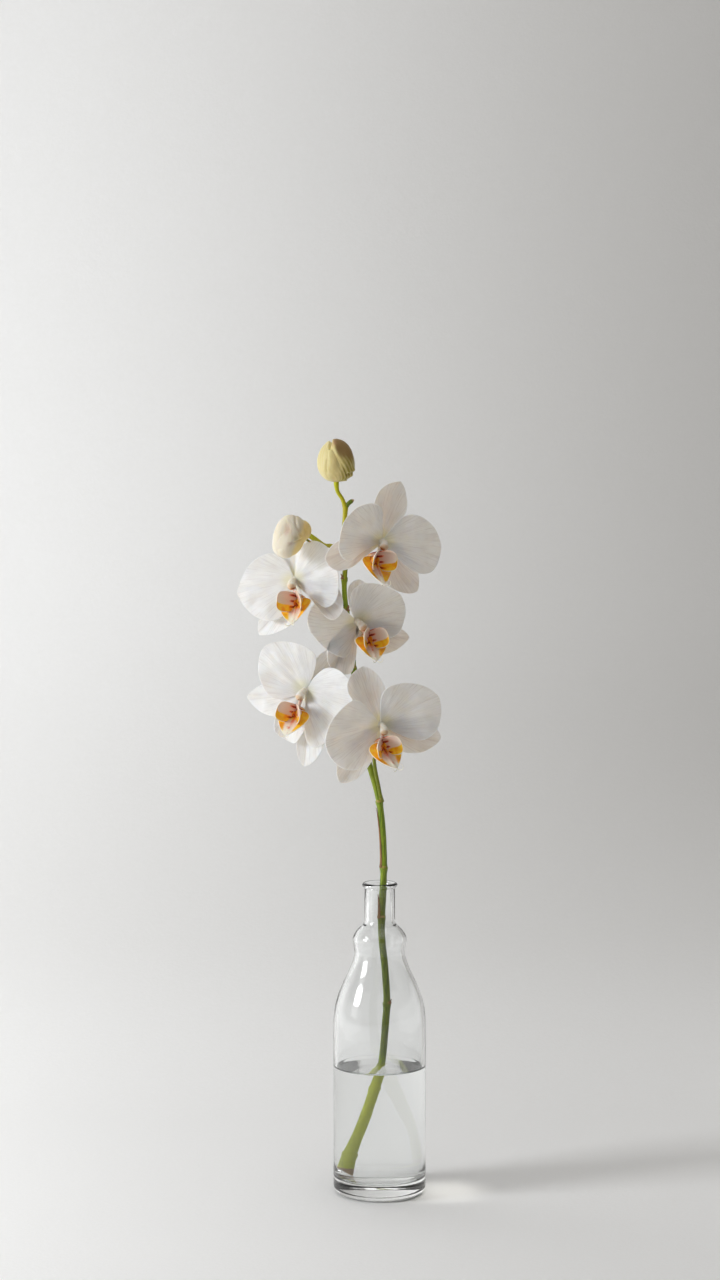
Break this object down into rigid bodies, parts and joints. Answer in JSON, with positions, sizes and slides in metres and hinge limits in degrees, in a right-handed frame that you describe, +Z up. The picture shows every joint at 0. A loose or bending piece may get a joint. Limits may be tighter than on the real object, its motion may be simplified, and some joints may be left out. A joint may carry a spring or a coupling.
{
  "type": "orchid in vase",
  "caption": "Cut spike of a white moth orchid with open blooms and closed buds, leaning in a clear glass bottle vase part filled with water.",
  "frame": {"origin": "centre of the bottle's flat underside", "axes": "+Z up along the bottle's axis, -Y out of the front, +X to the right seen from the front"},
  "size_m": [0.1355, 0.1057, 0.51],
  "materials": {
    "bottle_glass": "clear polished blown glass with a faint grey-green tint",
    "water": "clear still water",
    "stem": "smooth waxy green plant stem",
    "petals": "soft white petal with fine veins",
    "lip": "waxy yellow-orange lip with dark red stripes",
    "bud": "smooth pale yellow-green bud"
  },
  "bodies": {
    "root": {"bottle": "bottle_glass", "water": "water", "flower_stem": "stem", "bloom_1_petals": "petals", "bloom_1_lip": "lip", "bloom_2_petals": "petals", "bloom_2_lip": "lip", "bloom_3_petals": "petals", "bloom_3_lip": "lip", "bloom_4_petals": "petals", "bloom_4_lip": "lip", "bloom_5_petals": "petals", "bloom_5_lip": "lip", "bud_1": "bud", "bud_2": "bud"}
  },
  "joints": []
}
